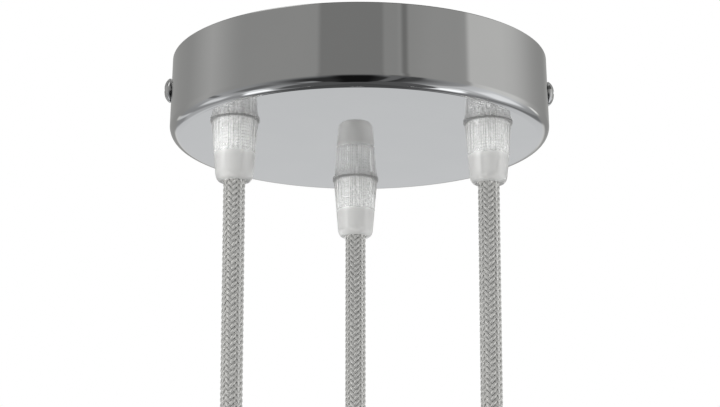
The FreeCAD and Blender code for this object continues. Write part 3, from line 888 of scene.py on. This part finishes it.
def braidTree():
    tree, source, v, identifiers = geometryTree("braid", {
        "Lanes": "Int", "Steps": "Int", "Sides": "Int",
        "Centre": "Vector", "Top": "Float", "Length": "Float",
        "Radius": "Float", "Pitch": "Float", "Wave": "Float",
        "Yarn width": "Float", "Yarn thickness": "Float", "Material": "Material",
    })
    grid, step, side = numberedGrid(tree, v["Steps"], v["Sides"])
    strip = store(tree, grid, "alongYarn", step / v["Steps"])
    strip = store(tree, strip, "yarnTurn", side / v["Sides"])
    line = addNode(tree, "GeometryNodeMeshLine")
    feed(tree, line.inputs["Count"], v["Lanes"] * 2)
    carriers = store(tree, line.outputs["Mesh"], "carrier", pointIndex(tree))
    copies = addNode(tree, "GeometryNodeInstanceOnPoints")
    tree.links.new(carriers, copies.inputs["Points"])
    tree.links.new(strip, copies.inputs["Instance"])
    real = addNode(tree, "GeometryNodeRealizeInstances")
    tree.links.new(copies.outputs["Instances"], real.inputs["Geometry"])
    carrier = named(tree, "carrier")
    along = named(tree, "alongYarn")
    # carriers take turns in going one way round and the other
    way = (carrier + nudge).apply("MODULO", 2.0).apply("FLOOR") * -2 + 1
    lane = (carrier / 2 + nudge).apply("FLOOR")
    drop = along * v["Length"]
    lean = (v["Radius"] / v["Pitch"] / v["Lanes"]) * math.tau
    slant = (lean * lean + 1).apply("SQRT")
    taper = braid["tipTaper"]
    tip = (along * taper).apply("MINIMUM", 1.0)
    tip = tip * ((along * -1 + 1) * taper).apply("MINIMUM", 1.0)
    around = named(tree, "yarnTurn") * math.tau
    offset = around.apply("COSINE") * v["Yarn width"] * 0.5 * tip
    lift = around.apply("SINE") * v["Yarn thickness"] * 0.5 * tip
    # each yarn goes over two others and then under two
    phase = lane * math.pi + way * drop / v["Pitch"] * math.pi - math.pi / 4
    wave = phase.apply("COSINE") * v["Wave"] * way
    angle = (lane / v["Lanes"]) * math.tau + way * drop * lean / v["Radius"]
    angle = angle + offset / slant / v["Radius"]
    height = v["Top"] - drop + way * offset * lean / slant
    endTree(tree, real.outputs["Geometry"], v["Radius"] + wave + lift, angle, height, v)
    return tree, identifiers


braiding = braidTree()


def makeBraid(outlet):
    low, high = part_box("cord_" + outlet)
    gap = braid["endGap"]
    length = high.z - low.z - 2 * gap
    values = {
        "Lanes": braid["lanes"],
        "Steps": round(length / braid["pitch"] * braid["stepsPerDiamond"]),
        "Sides": braid["sides"],
        "Centre": (*outletCentre(outlet), 0.0),
        "Top": high.z - gap,
        "Length": length,
        "Radius": braid["meanRadius"],
        "Pitch": braid["pitch"],
        "Wave": braid["wave"],
        "Yarn width": braid["yarnWidth"],
        "Yarn thickness": braid["yarnThickness"],
        "Material": materials["yarn"],
    }
    tree, identifiers = braiding
    piece = grown("braid_" + outlet, tree, identifiers, values)
    tidyMesh(piece, braid["sharpAngle"], braid["merge"])
    piece.visible_glossy = False    # the cup's mirror shows no cord
    return settle(piece, "silver_textile")


for outlet in outlets:
    line, mouth, length = cordPieces[outlet]
    # the core takes the painted shade material, so the braid's gaps look dark
    line.data.materials.append(materials["paintedShade"])
    settle(line, "silver_textile", "cord_" + outlet)
    line.visible_glossy = False
    sleeve = makeBraid(outlet)
    collar = smoothCopy(
        "end_collar_" + outlet, "endCollar_" + outlet, materials["sleeve"], "collar_sleeve"
    )
print("cords braided")


# Inner pieces: for each node its name in the scene, its finish, its slot and its edges' width

innerPieces = {
    "ceiling_bracket": ("ceilingBracket", "zinc", "zinc_steel", 0.12 * mm),
    "side_screws": ("sideScrews", "screwChrome", "screw_chrome", 0.06 * mm),
    "lock_washers": ("lockWashers", "zinc", "zinc_steel", 0.0),
    "lock_nuts": ("lockNuts", "zinc", "zinc_steel", 0.1 * mm),
    "terminal_block_body": ("terminalBlock", "block", "terminal_plastic", 0.0),
    "terminal_sleeves": ("terminalSleeves", "brass", "brass", 0.0),
    "terminal_screws": ("terminalScrews", "zinc", "zinc_steel", 0.05 * mm),
    "earth_screw": ("earthScrew", "brass", "brass", 0.08 * mm),
    "earth_ring_terminal": ("earthRing", "tin", "tinned_copper", 0.05 * mm),
    "ferrules": ("leadFerrules", "tin", "tinned_copper", 0.0),
    "earth_lead": ("earthLead", "earth", "green_yellow_insulation", 0.0),
}
wireSlots = {
    "earth": "green_yellow_insulation", "blue": "blue_insulation", "brown": "brown_insulation",
}
wireSharpAngle = 50

for node, (name, material, slotName, bevel) in innerPieces.items():
    smoothCopy(node, name, materials[material], slotName, bevel=bevel)
for outlet in outlets:
    for colour, slotName in wireSlots.items():
        ending = "_" + colour + "_" + outlet
        wire = smoothCopy(
            "core" + ending, "wire" + ending, materials[colour], slotName, wireSharpAngle
        )
        wire.visible_glossy = False
print("inner pieces dressed")


# Stage

stage = {
    "floorDrop": 1.3,
    "floorRadius": 9.0,
    "floorSides": 96,
    "floorColour": (0.86, 0.86, 0.86),
    "floorRough": 0.9,
    "fadeFrom": 1.5,                # from here out the floor fades to white
    "fadeTo": 3.6,
    "worldLight": 0.48,
    "lampAim": (0, 0, -0.03),
}
# Soft panels that shine only in the chrome and other glossy finishes. Each has its azimuth
# from the front, half width and side softness, then its lowest and highest elevation and
# end softness, in degrees, and its brightness. A later one lies over the earlier ones.
studioPanels = {
    "leftWall": (-103, 12, 34, -91, 91, 1, 0.56),
    "leftEnd": (-160, 26, 30, -91, 91, 1, 0.38),
    "darkWall": (-4, 22, 4, -91, 91, 1, 0.285),
    "paleGap": (17, 4.5, 3, -91, 91, 1, 0.37),
    "darkPost": (25.5, 1.8, 3, -91, 91, 1, 0.25),
    "rightWall": (50, 14, 20, -91, 91, 1, 0.43),
    "rightFade": (98, 20, 44, -91, 91, 1, 0.72),
    "rightBox": (82, 15, 5, -91, 91, 1, 0.74),
    "rightEnd": (150, 8, 20, -91, 91, 1, 0.34),
    "rightGlow": (92, 18, 24, -44, 12, 12, 0.9),
    "nearShade": (-5, 50, 44, -91, -17, 34, 0.04),
    "nearBlack": (-4, 14, 12, -91, -12, 20, 0.01),
    "greyStand": (20, 4, 4, -72, -6, 8, 0.19),
    "backStand": (32, 5, 6, -50, -10, 12, 0.09),
    "paleCase": (-44, 7, 5, -63, -50, 6, 0.38),
    "leftShade": (-76, 14, 14, -48, -30, 10, 0.2),
    "leftPost": (-100, 3, 4, -26, -10, 5, 0.22),
    "leftBounce": (-115, 8, 12, -43, -26, 7, 1.05),
    "leftScreen": (-150, 10, 8, -48, -24, 6, 0.6),
    "leftSweep": (-168, 10, 7, -42, -8, 6, 0.84),
    "leftStripe": (-140.5, 3, 4, -26, -5, 6, 0.82),
    "rightBounce": (104, 16, 14, -44, -22, 8, 1.24),
    "rightSweep": (158, 12, 6, -38, -6, 9, 0.8),
    "rightSpot": (125, 6, 8, -9, -3, 4, 1.2),
    "rightPost": (139, 5, 5, -52, -12, 6, 0.26),
    "ground": (0, 181, 1, -91, -65, 4, 0.13),
    "leftStrip": (-124, 16, 8, -62.5, -53, 3, 1.75),
    "leftStripEnd": (-99, 9, 8, -59.5, -49, 4, 1.2),
    "rightStrip": (120, 20, 10, -66, -56.5, 3, 1.75),
    "rightStripEnd": (94, 8, 8, -61, -52, 4, 1.2),
    "farFloor": (180, 24, 16, -91, -45, 8, 0.09),
    "farGround": (180, 9, 8, -91, -27, 7, 0.1),
    "nearGround": (-8, 22, 16, -78, -62, 6, 0.01),
    "farScreen": (180, 24, 8, -24, -12, 4, 0.8),
    "overhead": (0, 110, 30, 28, 64, 8, 0.12),
    "highLight": (-58, 18, 20, 28, 62, 12, 1.6),
}
studio = {
    "grey": 0.4,                    # where there is no panel
    "lowerTint": (0.985, 1.0, 1.012),
    "upperTint": (1.0, 1.0, 0.975),
    "tintFrom": -14.0,
    "tintTo": -8.0,
}


def mirroredRoom(tree, azimuth, elevation):
    room = azimuth * 0 + studio["grey"]
    for centre, half, soft, lowest, highest, endSoft, brightness in studioPanels.values():
        fade, endFade = soft / 2, endSoft / 2
        aside = (azimuth - centre).apply("WRAP", 180.0, -180.0).apply("ABSOLUTE")
        edge = softStep(tree, aside, half + fade, half - fade)
        edge = edge * softStep(tree, elevation, lowest - endFade, lowest + endFade)
        edge = edge * softStep(tree, elevation, highest + endFade, highest - endFade)
        room = room + (room * -1 + brightness) * edge
    return room


def makeWorld():
    world = bpy.data.worlds.new("studio")
    bpy.context.scene.world = world
    world.use_nodes = True
    tree = world.node_tree
    tree.nodes.clear()
    place = addNode(tree, "ShaderNodeTexCoord")
    split = addNode(tree, "ShaderNodeSeparateXYZ")
    tree.links.new(place.outputs["Generated"], split.inputs["Vector"])
    x, y, z = (Signal(tree, split.outputs[axis]) for axis in "XYZ")
    elevation = z.apply("ARCSINE") * math.degrees(1)
    azimuth = x.apply("ARCTAN2", y * -1) * math.degrees(1)
    path = addNode(tree, "ShaderNodeLightPath")
    through = Signal(tree, path.outputs["Is Transmission Ray"])
    glossy = Signal(tree, path.outputs["Is Glossy Ray"]) * (through * -1 + 1)
    seen = Signal(tree, path.outputs["Is Camera Ray"]).apply("MAXIMUM", through)
    plain = seen * (1 - stage["worldLight"]) + stage["worldLight"]
    strength = plain + (mirroredRoom(tree, azimuth, elevation) - plain) * glossy
    high = softStep(tree, elevation, studio["tintFrom"], studio["tintTo"])
    tint = blended(tree, high, studio["lowerTint"], studio["upperTint"])
    back = addNode(tree, "ShaderNodeBackground")
    tree.links.new(blended(tree, glossy, (1, 1, 1), tint), back.inputs["Color"])
    tree.links.new(strength.socket, back.inputs["Strength"])
    out = addNode(tree, "ShaderNodeOutputWorld")
    tree.links.new(back.outputs["Background"], out.inputs["Surface"])


def paleFloor():
    # fades to white far out and is left out of reflections
    material, tree, shader = newMaterial("paleFloor")
    shader.inputs["Base Color"].default_value = (*stage["floorColour"], 1)
    setShader(shader, rough=stage["floorRough"], specular=0.0)
    place = addNode(tree, "ShaderNodeTexCoord")
    length = addNode(tree, "ShaderNodeVectorMath", operation="LENGTH")
    tree.links.new(place.outputs["Object"], length.inputs[0])
    fadeWidth = stage["fadeTo"] - stage["fadeFrom"]
    far = (Signal(tree, length.outputs["Value"]) - stage["fadeFrom"]) / fadeWidth
    white = addNode(tree, "ShaderNodeEmission")
    fade = addNode(tree, "ShaderNodeMixShader")
    feed(tree, fade.inputs[0], far.limited())
    tree.links.new(shader.outputs["BSDF"], fade.inputs[1])
    tree.links.new(white.outputs["Emission"], fade.inputs[2])
    path = addNode(tree, "ShaderNodeLightPath")
    unseen = addNode(tree, "ShaderNodeBsdfTransparent")
    pick = addNode(tree, "ShaderNodeMixShader")
    tree.links.new(path.outputs["Is Glossy Ray"], pick.inputs[0])
    tree.links.new(fade.outputs["Shader"], pick.inputs[1])
    tree.links.new(unseen.outputs["BSDF"], pick.inputs[2])
    tree.links.new(pick.outputs["Shader"], tree.nodes["Material Output"].inputs["Surface"])
    return material


def makeFloor():
    mesh = bpy.data.meshes.new("floor")
    shape = bmesh.new()
    bmesh.ops.create_circle(
        shape, cap_ends=True, segments=stage["floorSides"], radius=stage["floorRadius"]
    )
    bmesh.ops.translate(shape, verts=shape.verts, vec=(0, 0, -stage["floorDrop"]))
    shape.to_mesh(mesh)
    shape.free()
    mesh.materials.append(paleFloor())
    floor = addObject("floor", mesh)


lamps = {
    "keyLeft": {"place": (-1.0, -0.55, -0.16), "size": 0.5, "power": 10.3},
    "sideRight": {"place": (0.97, -0.3, -0.2), "size": 0.7, "power": 6.6},
    "topBack": {"place": (0.1, 0.8, 0.9), "size": 0.8, "power": 6.0},
}


def makeLamps():
    for name, values in lamps.items():
        data = bpy.data.lights.new(name, "AREA")
        data.size = values["size"]
        data.energy = values["power"]
        lamp = addObject(name, data)
        lamp.location = values["place"]
        towards = Vector(stage["lampAim"]) - lamp.location
        lamp.rotation_euler = towards.to_track_quat("-Z", "Y").to_euler()
        lamp.visible_glossy = False


makeWorld()
makeFloor()
makeLamps()
bpy.context.scene.view_settings.view_transform = "Standard"
print("stage lit")
